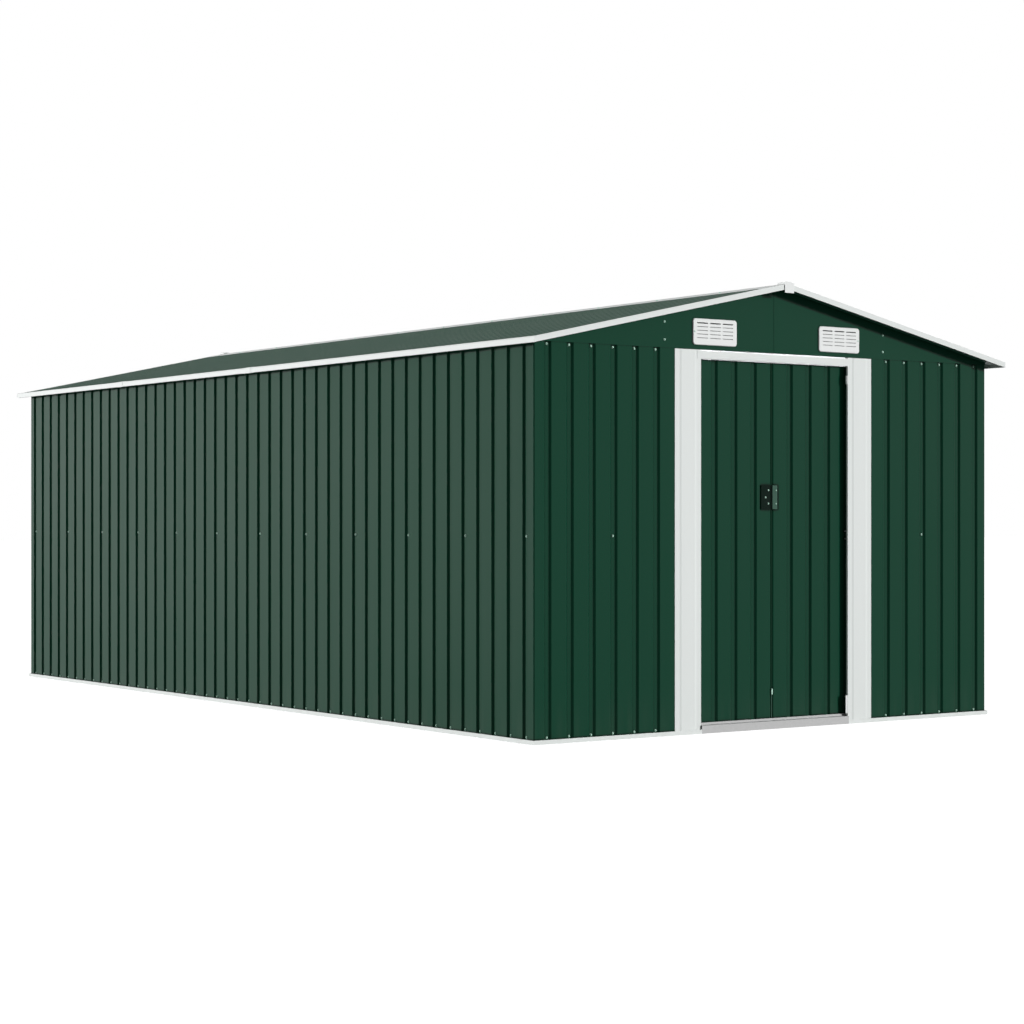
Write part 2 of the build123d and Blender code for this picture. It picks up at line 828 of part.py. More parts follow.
# Handles: a shallow pull plate on the left leaf and a raised grip on the right one
with BuildPart() as left_door_handle:
    pull_middle = -pull_start - pull_width / 2
    with BuildSketch(Plane.XZ.offset(-leaf_face)):
        with Locations((pull_middle, handle_middle)):
            RectangleRounded(pull_width, handle_height, handle_corner)
    extrude(amount=pull_depth)
    with BuildSketch(Plane.XZ.offset(-leaf_face + pull_depth)):
        with Locations((pull_middle, handle_middle)):
            Rectangle(pull_width - 2 * pull_rim, handle_height - 2 * pull_rim)
    extrude(amount=pull_floor - pull_depth, mode=Mode.SUBTRACT)
save(left_door_handle.part, "left_door_handle")

with BuildPart() as right_door_handle:
    with BuildSketch(Plane.XZ.offset(-leaf_face)):
        with Locations((grip_start + grip_plate_width / 2, handle_middle)):
            RectangleRounded(grip_plate_width, handle_height, handle_corner)
    extrude(amount=grip_plate)
    with BuildSketch(Plane.XZ.offset(-leaf_face + grip_plate)):
        with Locations((grip_start + grip_width / 2, handle_middle)):
            RectangleRounded(grip_width, grip_height, handle_corner)
    extrude(amount=grip_depth - grip_plate)
    chamfer(right_door_handle.faces().sort_by(Axis.Y)[0].edges(), handle_corner / 2)
save(right_door_handle.part, "right_door_handle")
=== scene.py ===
# %% [markdown]
# # A metal storage shed
# The shed is a kit of pressed steel sheets. Green grooved walls stand in a pale base rail, a low
# ridged roof carries white edge trims, and two door leaves hang from a track behind the header.
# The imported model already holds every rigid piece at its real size, so this script never moves
# one. It gives each piece its finish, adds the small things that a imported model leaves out, such
# as screws and door stops, and sets up a plain studio with a camera at the photograph's angle.

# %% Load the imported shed
import math

import bmesh
import bpy
from mathutils import Euler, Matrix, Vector


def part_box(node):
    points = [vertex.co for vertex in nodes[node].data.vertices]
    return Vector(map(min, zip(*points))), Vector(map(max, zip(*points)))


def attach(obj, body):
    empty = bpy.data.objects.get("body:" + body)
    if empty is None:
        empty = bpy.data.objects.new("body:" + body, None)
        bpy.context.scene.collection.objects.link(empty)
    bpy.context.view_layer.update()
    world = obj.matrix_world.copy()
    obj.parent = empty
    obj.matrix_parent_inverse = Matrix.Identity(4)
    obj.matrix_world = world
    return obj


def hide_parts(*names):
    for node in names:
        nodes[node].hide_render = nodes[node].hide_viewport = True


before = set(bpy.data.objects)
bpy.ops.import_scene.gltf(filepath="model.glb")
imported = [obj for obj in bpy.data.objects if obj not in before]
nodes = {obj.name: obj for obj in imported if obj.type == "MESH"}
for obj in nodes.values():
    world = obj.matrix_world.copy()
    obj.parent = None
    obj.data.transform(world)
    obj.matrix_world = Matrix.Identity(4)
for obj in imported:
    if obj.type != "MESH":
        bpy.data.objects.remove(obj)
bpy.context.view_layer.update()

# %% [markdown]
# ## The camera
# A photograph's view is given by where the camera stands, where it looks and how long its lens
# is. The shed's own grooves are evenly spaced, so their places in the picture fix all three. The
# camera is level and about as high as the middle of a wall, which keeps upright edges upright.
# A small shift of the lens, and no tilt, puts the horizon a little under the picture's middle.

# %% Place the camera
camera_place = (-6.373, -9.573, 0.859)
camera_turn = 0.6114
lens_mm = 81.38
sensor_mm = 36.0
horizon_shift = 0.0081

camera_data = bpy.data.cameras.new("camera")
camera_data.sensor_width = sensor_mm
camera_data.lens = lens_mm
camera_data.shift_y = horizon_shift
camera = bpy.data.objects.new("camera", camera_data)
camera.location = camera_place
camera.rotation_euler = (math.pi / 2, 0, -camera_turn)
bpy.context.scene.collection.objects.link(camera)
bpy.context.scene.camera = camera
print("camera at", camera_place, "turned", round(math.degrees(camera_turn), 1), "degrees")

# %% [markdown]
# ## Light and background
# Low lamps from two sides give pressed sheet its look: each groove keeps one bright and one dark
# wall. One lamp stands to the front right and lights the doors, the other stands to the back
# left and lights the long wall. A dim pale world fills the shadows. The background is white only
# for what the camera, gloss or glass sees, so it adds no light of its own to the shed. The two
# lamps only light matt colour. Gloss gets two weaker lamps of its own, so that the soft sheen on
# the sheets can be set apart from how bright they are.

# %% Set the lamps and the world
scene = bpy.context.scene
scene.view_settings.view_transform = "Standard"

key_from = Vector((0.75, -1.0, 0.24))
key_strength = 3.11
side_from = Vector((-1.0, 1.35, 0.16))
side_strength = 4.15
front_gloss_from = Vector((0.9, -1.0, 0.12))
side_gloss_from = Vector((-1.0, 1.7, 0.10))
front_gloss_strength = 0.9
side_gloss_strength = 0.9
lamp_softness = math.radians(3.0)
fill_strength = 0.11
fill_colour = (0.96, 0.98, 1.0, 1)
pure_white = (1, 1, 1, 1)


def add_lamp(name, towards, strength, gloss):
    """A distant lamp from the direction given, which shows either in gloss or on matt colour."""
    data = bpy.data.lights.new(name, "SUN")
    data.energy = strength
    data.angle = lamp_softness
    lamp = bpy.data.objects.new(name, data)
    lamp.rotation_euler = towards.to_track_quat("Z", "Y").to_euler()
    lamp.visible_glossy = gloss
    lamp.visible_diffuse = not gloss
    scene.collection.objects.link(lamp)


add_lamp("front_right_lamp", key_from, key_strength, gloss=False)
add_lamp("back_left_lamp", side_from, side_strength, gloss=False)
add_lamp("front_gloss_lamp", front_gloss_from, front_gloss_strength, gloss=True)
add_lamp("side_gloss_lamp", side_gloss_from, side_gloss_strength, gloss=True)


def seen_directly(tree):
    """A mask that is 1 for what the camera sees, also in gloss or through glass."""
    path = tree.nodes.new("ShaderNodeLightPath")
    first = tree.nodes.new("ShaderNodeMath")
    first.operation = "MAXIMUM"
    second = tree.nodes.new("ShaderNodeMath")
    second.operation = "MAXIMUM"
    tree.links.new(path.outputs["Is Camera Ray"], first.inputs[0])
    tree.links.new(path.outputs["Is Glossy Ray"], first.inputs[1])
    tree.links.new(first.outputs[0], second.inputs[0])
    tree.links.new(path.outputs["Is Transmission Ray"], second.inputs[1])
    return second.outputs[0]


world = bpy.data.worlds.new("studio")
world.use_nodes = True
scene.world = world
sky = world.node_tree
sky.nodes.clear()
fill = sky.nodes.new("ShaderNodeBackground")
fill.inputs["Color"].default_value = fill_colour
fill.inputs["Strength"].default_value = fill_strength
white = sky.nodes.new("ShaderNodeBackground")
white.inputs["Color"].default_value = pure_white
white.inputs["Strength"].default_value = 1.0
choose = sky.nodes.new("ShaderNodeMixShader")
sky_out = sky.nodes.new("ShaderNodeOutputWorld")
sky.links.new(seen_directly(sky), choose.inputs["Fac"])
sky.links.new(fill.outputs[0], choose.inputs[1])
sky.links.new(white.outputs[0], choose.inputs[2])
sky.links.new(choose.outputs[0], sky_out.inputs["Surface"])
print("two lamps of strength", key_strength, "and", side_strength, "with a fill of", fill_strength)

# %% [markdown]
# ## The floor
# The floor is one wide plane just under the base rail. Its own material adds a glow that only
# direct views see to a plain matt surface, which takes the shed's shadow and sends some light
# back up under the eaves. The two together are just white, so only the shadow shows as a tint.

# %% Lay the floor
floor_size = 160.0
floor_drop = 0.0006
floor_matt = 0.5
floor_glow = 0.92

floor_mesh = bpy.data.meshes.new("floor")
reach = floor_size / 2
turns = ((-1, -1), (1, -1), (1, 1), (-1, 1))
floor_mesh.from_pydata([(x * reach, y * reach, -floor_drop) for x, y in turns], [], [(0, 1, 2, 3)])
floor = bpy.data.objects.new("floor", floor_mesh)
scene.collection.objects.link(floor)

floor_finish = bpy.data.materials.new("studio_floor")
floor_finish.use_nodes = True
tree = floor_finish.node_tree
tree.nodes.clear()
matt = tree.nodes.new("ShaderNodeBsdfDiffuse")
matt.inputs["Color"].default_value = (floor_matt, floor_matt, floor_matt, 1)
glow = tree.nodes.new("ShaderNodeEmission")
share = tree.nodes.new("ShaderNodeMath")
share.operation = "MULTIPLY"
share.inputs[1].default_value = floor_glow
both = tree.nodes.new("ShaderNodeAddShader")
out = tree.nodes.new("ShaderNodeOutputMaterial")
tree.links.new(seen_directly(tree), share.inputs[0])
tree.links.new(share.outputs[0], glow.inputs["Strength"])
tree.links.new(matt.outputs[0], both.inputs[0])
tree.links.new(glow.outputs[0], both.inputs[1])
tree.links.new(both.outputs[0], out.inputs["Surface"])
floor_mesh.materials.append(floor_finish)
print("floor", floor_size, "m wide")

# %% [markdown]
# ## Shader groups
# Some effects belong to more than one finish. Sheet that is rolled and then coated has the same
# faint waves whether it is green or white, zinc crystals show on rails and screws alike, and all
# moulded plastic has a fine grain. Each such effect is a group with named inputs, built once and
# placed in every material that needs it with its own values. Patterns read Object coordinates,
# which stay fixed to the shed, and all sizes are in metres.

# %% Helpers for shader groups
crevice_samples = 8


def start_group(name, inputs, outputs):
    """A new shader group with (name, type, value) inputs and (name, type) outputs."""
    group = bpy.data.node_groups.new(name, "ShaderNodeTree")
    for title, kind, value in inputs:
        socket = group.interface.new_socket(title, in_out="INPUT", socket_type=kind)
        socket.default_value = value
    for title, kind in outputs:
        group.interface.new_socket(title, in_out="OUTPUT", socket_type=kind)
    source = group.nodes.new("NodeGroupInput")
    result = group.nodes.new("NodeGroupOutput")
    return group, source, result


def add_noise(tree, vector, scale, detail=3.0, roughness=0.5):
    """A noise texture on the coordinates given. Its value lies about 0.5."""
    noise = tree.nodes.new("ShaderNodeTexNoise")
    noise.inputs["Scale"].default_value = scale
    noise.inputs["Detail"].default_value = detail
    noise.inputs["Roughness"].default_value = roughness
    tree.links.new(vector, noise.inputs["Vector"])
    return noise.outputs["Fac"]


def add_math(tree, operation, first, second):
    """One sum of two values, each a socket or a plain number."""
    node = tree.nodes.new("ShaderNodeMath")
    node.operation = operation
    for socket, value in zip(node.inputs, (first, second)):
        if isinstance(value, (int, float)):
            socket.default_value = value
        else:
            tree.links.new(value, socket)
    return node.outputs[0]


def add_stretch(tree, vector, stretch):
    """Coordinates stretched along the axes, so that a noise on them runs in streaks."""
    node = tree.nodes.new("ShaderNodeMapping")
    node.inputs["Scale"].default_value = stretch
    tree.links.new(vector, node.inputs["Vector"])
    return node.outputs["Vector"]


def add_ramp(tree, value, low, high):
    """A mask that climbs smoothly from 0 at low to 1 at high."""
    node = tree.nodes.new("ShaderNodeMapRange")
    node.interpolation_type = "SMOOTHSTEP"
    node.inputs["From Min"].default_value = low
    node.inputs["From Max"].default_value = high
    tree.links.new(value, node.inputs["Value"])
    return node.outputs["Result"]


def add_tint(tree, amount, first, second):
    """A mix of two colours, each a socket or four numbers."""
    node = tree.nodes.new("ShaderNodeMix")
    node.data_type = "RGBA"
    tree.links.new(amount, node.inputs["Factor"])
    for socket, value in zip((node.inputs[6], node.inputs[7]), (first, second)):
        if isinstance(value, tuple):
            socket.default_value = value
        else:
            tree.links.new(value, socket)
    return node.outputs[2]


def add_bump(tree, height, depth, normal=None):
    """Turns a height pattern into a normal. The depth is in metres, a number or a socket."""
    node = tree.nodes.new("ShaderNodeBump")
    node.inputs["Strength"].default_value = 1.0
    if isinstance(depth, float):
        node.inputs["Distance"].default_value = depth
    else:
        tree.links.new(depth, node.inputs["Distance"])
    tree.links.new(height, node.inputs["Height"])
    if normal is not None:
        tree.links.new(normal, node.inputs["Normal"])
    return node.outputs["Normal"]


def add_swing(tree, value, amount):
    """How far a pattern lies from its middle value of 0.5, times an amount."""
    return add_math(tree, "MULTIPLY", add_math(tree, "SUBTRACT", value, 0.5), amount)


def add_shade(tree, colour, shade):
    """The colour made brighter or darker by a share of itself, such as 0.05 or -0.05."""
    node = tree.nodes.new("ShaderNodeHueSaturation")
    tree.links.new(colour, node.inputs["Color"])
    tree.links.new(add_math(tree, "ADD", shade, 1.0), node.inputs["Value"])
    return node.outputs["Color"]


def add_crevices(tree, size, deep, clean):
    """A mask that is 1 where the open sky near a point is under deep, and 0 where it is over clean."""
    corners = tree.nodes.new("ShaderNodeAmbientOcclusion")
    corners.samples = crevice_samples
    corners.inputs["Distance"].default_value = size
    open_sky = add_ramp(tree, corners.outputs["AO"], deep, clean)
    return add_math(tree, "SUBTRACT", 1.0, open_sky)


print("helpers ready, with", crevice_samples, "samples for a crevice")

# %% [markdown]
# Coated sheet is never quite flat. Rolling leaves waves a hand's width across, and the coating
# dries with a fine skin like orange peel. Outdoors a little dust settles near the ground, and
# rain draws it down in streaks. The colour is only on the outside. Inside, the sheet has a plain
# pale back coat, so the group asks which way is out and paints the faces that look the other way
# with the back colour. On a roof sheet the back colour shows inside the shed, nearer to its
# middle than Back Reach, and under the eaves, further out than Eave Start. Under the gable
# overhangs the outside colour goes all the way round, as a painted shade that keeps them dark.
# The inner corners of the grooves get painted shade, a tint towards black where shade falls.
# Ambient occlusion finds those corners, because it measures how much of the sky a point can see
# close by. The group puts out a colour, a roughness and a normal.

# %% The coated sheet group
back_from = -0.3
back_full = -0.4
everywhere = 100.0
patch_scale = 1.1
patch_share = 0.6
streak_stretch = (16.0, 16.0, 0.9)
streak_share = 0.4
dust_height = 0.22
dust_thin = 0.35
dust_thick = 0.7
dust_roughness = 0.3
wave_scale = 2.4
peel_scale = 420.0
# The groove values set a painted shade: a black tint in the inner corners of the grooves.
groove_crevice = 0.012
groove_deep = 0.80
groove_clean = 0.94
groove_shade_colour = (0, 0, 0, 1)

finish_outputs = [
    ("Colour", "NodeSocketColor"),
    ("Roughness", "NodeSocketFloat"),
    ("Normal", "NodeSocketVector"),
]
coat_group, source, result = start_group(
    "coated_sheet",
    [
        ("Colour", "NodeSocketColor", (0.5, 0.5, 0.5, 1)),
        ("Back Colour", "NodeSocketColor", (0.5, 0.5, 0.5, 1)),
        ("Outward", "NodeSocketVector", (0, 0, 0)),
        ("Back Reach", "NodeSocketFloat", everywhere),
        ("Eave Start", "NodeSocketFloat", everywhere),
        ("Dust Colour", "NodeSocketColor", (0.3, 0.29, 0.26, 1)),
        ("Shade Change", "NodeSocketFloat", 0.08),
        ("Dust", "NodeSocketFloat", 0.1),
        ("Painted Crevice Shade", "NodeSocketFloat", 0.0),
        ("Roughness", "NodeSocketFloat", 0.4),
        ("Roughness Change", "NodeSocketFloat", 0.08),
        ("Wave Depth", "NodeSocketFloat", 0.0004),
        ("Peel Depth", "NodeSocketFloat", 0.00002),
    ],
    finish_outputs,
)
given = source.outputs
coordinates = coat_group.nodes.new("ShaderNodeTexCoord")
place = coordinates.outputs["Object"]
place_parts = coat_group.nodes.new("ShaderNodeSeparateXYZ")
coat_group.links.new(place, place_parts.inputs[0])
facing = coat_group.nodes.new("ShaderNodeVectorMath")
facing.operation = "DOT_PRODUCT"
coat_group.links.new(coordinates.outputs["Normal"], facing.inputs[0])
coat_group.links.new(given["Outward"], facing.inputs[1])
looks_in = add_ramp(coat_group, facing.outputs["Value"], back_from, back_full)
along = add_math(coat_group, "ABSOLUTE", place_parts.outputs["Y"], 0.0)
across = add_math(coat_group, "ABSOLUTE", place_parts.outputs["X"], 0.0)
# Painted shade: past Back Reach, under the gable overhangs, the outside colour stays so the shade
# there reads dark.
under_roof = add_math(coat_group, "LESS_THAN", along, given["Back Reach"])
under_eave = add_math(coat_group, "GREATER_THAN", across, given["Eave Start"])
within = add_math(coat_group, "MAXIMUM", under_roof, under_eave)
inside = add_math(coat_group, "MULTIPLY", looks_in, within)
two_sided = add_tint(coat_group, inside, given["Colour"], given["Back Colour"])

patches = add_noise(coat_group, place, patch_scale, detail=4.0)
streaks = add_noise(coat_group, add_stretch(coat_group, place, streak_stretch), 1.0, detail=5.0)
patch_part = add_math(coat_group, "MULTIPLY", patches, patch_share)
streak_part = add_math(coat_group, "MULTIPLY", streaks, streak_share)
uneven = add_math(coat_group, "ADD", patch_part, streak_part)
shaded = add_shade(coat_group, two_sided, add_swing(coat_group, uneven, given["Shade Change"]))

near_ground = add_ramp(coat_group, place_parts.outputs["Z"], dust_height, 0.0)
drawn_down = add_ramp(coat_group, streaks, dust_thin, dust_thick)
settled = add_math(coat_group, "MULTIPLY", near_ground, drawn_down)
dusty = add_math(coat_group, "MULTIPLY", settled, given["Dust"])
tinted = add_tint(coat_group, dusty, shaded, given["Dust Colour"])
# Painted shade: where little sky is seen close by, the colour is tinted towards black.
crevices = add_crevices(coat_group, groove_crevice, groove_deep, groove_clean)
corner_shade = add_math(coat_group, "MULTIPLY", crevices, given["Painted Crevice Shade"])
corner_shaded = add_tint(coat_group, corner_shade, tinted, groove_shade_colour)

rough_shift = add_swing(coat_group, uneven, given["Roughness Change"])
rough_coat = add_math(coat_group, "ADD", given["Roughness"], rough_shift)
rough_dust = add_math(coat_group, "MULTIPLY", dusty, dust_roughness)
rough = add_math(coat_group, "ADD", rough_coat, rough_dust)
rolled = add_noise(coat_group, place, wave_scale, detail=1.0)
dried = add_noise(coat_group, place, peel_scale, detail=2.0)
waves = add_bump(coat_group, rolled, given["Wave Depth"])
skin = add_bump(coat_group, dried, given["Peel Depth"], waves)
coat_group.links.new(corner_shaded, result.inputs["Colour"])
coat_group.links.new(rough, result.inputs["Roughness"])
coat_group.links.new(skin, result.inputs["Normal"])
print("coated_sheet has", len(coat_group.nodes), "nodes")

# %% [markdown]
# Zinc that cools on steel grows flat crystals, each turned its own way, and every one shines a
# little differently. A Voronoi texture gives a random colour to each cell, which makes a good
# crystal. The group serves the rails, the track, the hangers and the screws.

# %% The zinc group
frost_scale = 700.0
frost_depth = 0.00003

zinc_group, source, result = start_group(
    "zinc_crystals",
    [
        ("Colour", "NodeSocketColor", (0.6, 0.6, 0.6, 1)),
        ("Crystal Scale", "NodeSocketFloat", 90.0),
        ("Crystal Contrast", "NodeSocketFloat", 0.18),
        ("Roughness", "NodeSocketFloat", 0.4),
    ],
    finish_outputs,
)
given = source.outputs
place = zinc_group.nodes.new("ShaderNodeTexCoord").outputs["Object"]
cells = zinc_group.nodes.new("ShaderNodeTexVoronoi")
zinc_group.links.new(place, cells.inputs["Vector"])
zinc_group.links.new(given["Crystal Scale"], cells.inputs["Scale"])
pick = zinc_group.nodes.new("ShaderNodeSeparateColor")
zinc_group.links.new(cells.outputs["Color"], pick.inputs[0])
shade = add_swing(zinc_group, pick.outputs[0], given["Crystal Contrast"])
shaded = add_shade(zinc_group, given["Colour"], shade)
rough = add_math(zinc_group, "ADD", given["Roughness"], shade)
frost = add_bump(zinc_group, add_noise(zinc_group, place, frost_scale, detail=3.0), frost_depth)
zinc_group.links.new(shaded, result.inputs["Colour"])
zinc_group.links.new(rough, result.inputs["Roughness"])
zinc_group.links.new(frost, result.inputs["Normal"])
print("zinc_crystals has", len(zinc_group.nodes), "nodes")

# %% [markdown]
# Moulded plastic copies the spark-eroded face of its mould, a fine even grain. Larger soft
# patches show where the melt flowed at another speed. Narrow slots, such as those of a vent, get
# painted shade from the same helper as the grooves of the sheets: a dark tint where shade falls.

# %% The moulded plastic group
flow_scale = 14.0
grain_scale = 900.0
# The slot values set a painted shade: a dark tint inside the vent slots.
slot_crevice = 0.008
slot_deep = 0.5
slot_clean = 0.97
slot_shade_colour = (0.05, 0.05, 0.05, 1)

grain_group, source, result = start_group(
    "moulded_grain",
    [
        ("Colour", "NodeSocketColor", (0.5, 0.5, 0.5, 1)),
        ("Shade Change", "NodeSocketFloat", 0.06),
        ("Crevice Shade", "NodeSocketFloat", 0.0),
        ("Roughness", "NodeSocketFloat", 0.45),
        ("Grain Depth", "NodeSocketFloat", 0.00004),
    ],
    finish_outputs,
)
given = source.outputs
place = grain_group.nodes.new("ShaderNodeTexCoord").outputs["Object"]
flow = add_noise(grain_group, place, flow_scale)
shade = add_swing(grain_group, flow, given["Shade Change"])
shaded = add_shade(grain_group, given["Colour"], shade)
# Painted shade in the slots, where little sky is seen close by.
crevices = add_crevices(grain_group, slot_crevice, slot_deep, slot_clean)
corner_shade = add_math(grain_group, "MULTIPLY", crevices, given["Crevice Shade"])
corner_shaded = add_tint(grain_group, corner_shade, shaded, slot_shade_colour)
rough = add_math(grain_group, "ADD", given["Roughness"], shade)
sparks = add_noise(grain_group, place, grain_scale, detail=2.0)
grain = add_bump(grain_group, sparks, given["Grain Depth"])
grain_group.links.new(corner_shaded, result.inputs["Colour"])
grain_group.links.new(rough, result.inputs["Roughness"])
grain_group.links.new(grain, result.inputs["Normal"])
print("moulded_grain has", len(grain_group.nodes), "nodes")

# %% [markdown]
# ## The finishes
# Each finish is one material: a Principled shader fed by one of the groups. What stays the same
# all over a surface, such as how metallic it is, is set on the shader itself. Colours are given
# as a picture editor shows them, from 0 to 255, and turned into the linear values that light
# needs. The green is deeper here than it looks in the picture, because gloss adds white to it.
# The back coat of the roof is a shade paler than that of the walls, as painted light that stands
# for light from the floor under the eave. The gable trims are dark underneath, a painted shade.

# %% Make the materials


def shop_colour(red, green, blue):
    """A linear colour from the 0 to 255 values of a picture."""
    linear = []
    for part in (red, green, blue):
        value = part / 255
        linear.append(value / 12.92 if value <= 0.04045 else ((value + 0.055) / 1.055) ** 2.4)
    return (*linear, 1.0)


def make_finish(name, group, values, metallic=0.0, specular=0.5):
    """A material whose colour, roughness and normal come from a group with these values."""
    material = bpy.data.materials.new(name)
    material.use_nodes = True
    tree = material.node_tree
    shader = tree.nodes["Principled BSDF"]
    shader.inputs["Metallic"].default_value = metallic
    shader.inputs["Specular IOR Level"].default_value = specular
    effect = tree.nodes.new("ShaderNodeGroup")
    effect.node_tree = group
    for title, value in values.items():
        effect.inputs[title].default_value = value
    tree.links.new(effect.outputs["Colour"], shader.inputs["Base Color"])
    tree.links.new(effect.outputs["Roughness"], shader.inputs["Roughness"])
    tree.links.new(effect.outputs["Normal"], shader.inputs["Normal"])
    return material


green = shop_colour(9, 57, 40)
back_coat = shop_colour(205, 209, 207)
# The roof's paler back coat is partly painted light, for the light from the floor under the eaves.
roof_back_coat_and_painted_light = shop_colour(238, 241, 240)
trim_white = shop_colour(225, 229, 227)
roof_pitch = math.radians(12.07)
wall_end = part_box("back_wall")[1].y
wall_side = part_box("right_wall")[1].x
# How strongly each sheet takes the painted shade in the corners of its grooves.
usual_crevice_shade = 0.75
other_crevice_shade = {"roof_left": 0.0, "roof_right": 0.0, "front_gable": 0.25}
green_outward = {
    "left_wall": (-1, 0, 0),
    "right_wall": (1, 0, 0),
    "back": (0, 1, 0),
    "front_gable": (0, -1, 0),
    "front": (0, -1, 0),
    "roof_left": (-math.sin(roof_pitch), 0, math.cos(roof_pitch)),
    "roof_right": (math.sin(roof_pitch), 0, math.cos(roof_pitch)),
}

green_finishes = {}
for side, outward in green_outward.items():
    on_roof = side.startswith("roof")
    values = {
        "Colour": green,
        "Back Colour": roof_back_coat_and_painted_light if on_roof else back_coat,
        "Outward": outward,
        "Shade Change": 0.10,
        "Dust": 0.0 if on_roof else 0.03,
        "Painted Crevice Shade": other_crevice_shade.get(side, usual_crevice_shade),
        "Roughness": 0.55 if on_roof else 0.5,
    }
    if on_roof:
        values["Back Reach"] = wall_end
        values["Eave Start"] = wall_side
    specular = 0.08 if on_roof else 0.06
    green_finishes[side] = make_finish("green_sheet_" + side, coat_group, values, specular=specular)

finishes = {
    "white_trim": make_finish(
        "white_coated_trim",
        coat_group,
        {"Colour": trim_white, "Shade Change": 0.05, "Dust": 0.08, "Roughness": 0.42},
        specular=0.1,
    ),
    "gable_trim": make_finish(
        "white_gable_trim",
        coat_group,
        {
            "Colour": trim_white,
            # The dark underside colour is a painted shade under the gable trims.
            "Back Colour": shop_colour(24, 32, 28),
            "Outward": (0, 0, 1),
            "Shade Change": 0.05,
            "Dust": 0.0,
            "Roughness": 0.42,
        },
        specular=0.1,
    ),
    "zinc_rail": make_finish(
        "zinc_rail_finish",
        zinc_group,
        {"Colour": shop_colour(186, 189, 191), "Crystal Scale": 70.0, "Roughness": 0.42},
        metallic=0.8,
    ),
    "zinc_track": make_finish(
        "pale_grey_track",
        zinc_group,
        {"Colour": shop_colour(182, 182, 182), "Crystal Scale": 110.0, "Crystal Contrast": 0.06},
        specular=0.3,
    ),
    "screw": make_finish(
        "bright_zinc_screw",
        zinc_group,
        {
            "Colour": shop_colour(190, 226, 209),
            "Crystal Scale": 600.0,
            "Crystal Contrast": 0.1,
            "Roughness": 0.5,
        },
        specular=0.1,
    ),
    "white_plastic": make_finish(
        "white_vent_plastic",
        grain_group,
        {
            "Colour": shop_colour(230, 232, 231),
            "Shade Change": 0.03,
            "Crevice Shade": 0.75,
            "Roughness": 0.38,
        },
        specular=0.12,
    ),
    "roller_plastic": make_finish(
        "roller_nylon",
        grain_group,
        {"Colour": shop_colour(208, 208, 203), "Shade Change": 0.08, "Roughness": 0.5},
    ),
    "dark_handle": make_finish(
        "dark_handle_plastic",
        grain_group,
        {
            "Colour": shop_colour(2, 20, 13),
            "Shade Change": 0.3,
            "Roughness": 0.5,
            "Grain Depth": 0.0001,
        },
        specular=0.04,
    ),
    "grip": make_finish(
        "grey_grip_plastic",
        grain_group,
        {
            "Colour": shop_colour(84, 116, 102),
            "Shade Change": 0.3,
            "Roughness": 0.5,
            "Grain Depth": 0.0001,
        },
        specular=0.06,
    ),
    # The seal's dark green is also a painted shade where the two leaves meet.
    "seal": make_finish(
        "dark_green_seal_painted_shade",
        grain_group,
        {"Colour": shop_colour(13, 44, 30), "Shade Change": 0.1, "Roughness": 0.6},
        specular=0.04,
    ),
}
print("made", len(green_finishes) + len(finishes), "materials")

# %% [markdown]
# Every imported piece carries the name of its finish, so dressing the shed is one loop. A green
# sheet also has to know which side of it is outside, which follows from where it is on the shed.
# Only the material slot changes. The meshes stay as they are.

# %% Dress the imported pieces


def packed_finish(name, slot_name):
    """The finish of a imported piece, from its own name and the finish that its slot names."""
    if name.startswith("gable_trim"):
        return finishes["gable_trim"]
    if slot_name != "green_sheet":
        return finishes[slot_name]
    sides = [side for side in green_finishes if name.startswith(side)]
    return green_finishes[sides[0] if sides else "front"]


for name, node in nodes.items():
    slot_name = node.data.materials[0].name.split(".")[0]
    node.data.materials[0] = packed_finish(name, slot_name)
print("dressed", len(nodes), "pieces")

# %% [markdown]
# ## Where the grooves lie
# The screws sit in the grooves of the sheets, because that is where the sheets touch the rails.
# The spacing is written once here in metres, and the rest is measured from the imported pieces.

# %% Groove places
side_pitch = 0.1055
side_count = 45
roof_count = 46
front_pitch = 0.1067
front_first_groove = 0.065
front_count = 6
back_count = 23
groove_depth = 0.0075
sheet = 0.001


def centred(count, pitch):
    """Evenly spaced places on both sides of the shed's middle."""
    return [(n - (count - 1) / 2) * pitch for n in range(count)]


wall_half_width = -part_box("left_wall")[0].x
back_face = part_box("back_wall")[1].y
front_face = -back_face
side_grooves = centred(side_count, side_pitch)
roof_grooves = centred(roof_count, side_pitch)
back_grooves = centred(back_count, front_pitch)
first_front = front_first_groove - wall_half_width
front_grooves = [first_front + n * front_pitch for n in range(front_count)]
front_grooves += [-x for x in reversed(front_grooves)]
print("grooves on a side, in front and behind:")
print(len(side_grooves), len(front_grooves), len(back_grooves))

# %% [markdown]
# ## Screws
# A kit like this is held by some hundreds of short screws, each on a round washer. Geometry
# Nodes suit them: one small screw is made inside the tree and copied onto every point of a mesh.
# The tree's inputs are the sizes of a screw and the way it faces. Few sides are enough, because
# a screw is seen from metres away, and hundreds of copies add up. Realize Instances turns the
# copies into real faces, which the export needs.

# %% Build the screw tree
rim_share = 0.92
shoulder_share = 0.86
crown_share = 0.45
shoulder_rise = 0.62


def start_tree(name, inputs):
    """A geometry tree with (name, type, value) inputs besides the mesh that it works on."""
    tree = bpy.data.node_groups.new(name, "GeometryNodeTree")
    tree.interface.new_socket("Geometry", in_out="INPUT", socket_type="NodeSocketGeometry")
    for title, kind, value in inputs:
        socket = tree.interface.new_socket(title, in_out="INPUT", socket_type=kind)
        if value is not None:
            socket.default_value = value
    tree.interface.new_socket("Geometry", in_out="OUTPUT", socket_type="NodeSocketGeometry")
    return tree, tree.nodes.new("NodeGroupInput"), tree.nodes.new("NodeGroupOutput")


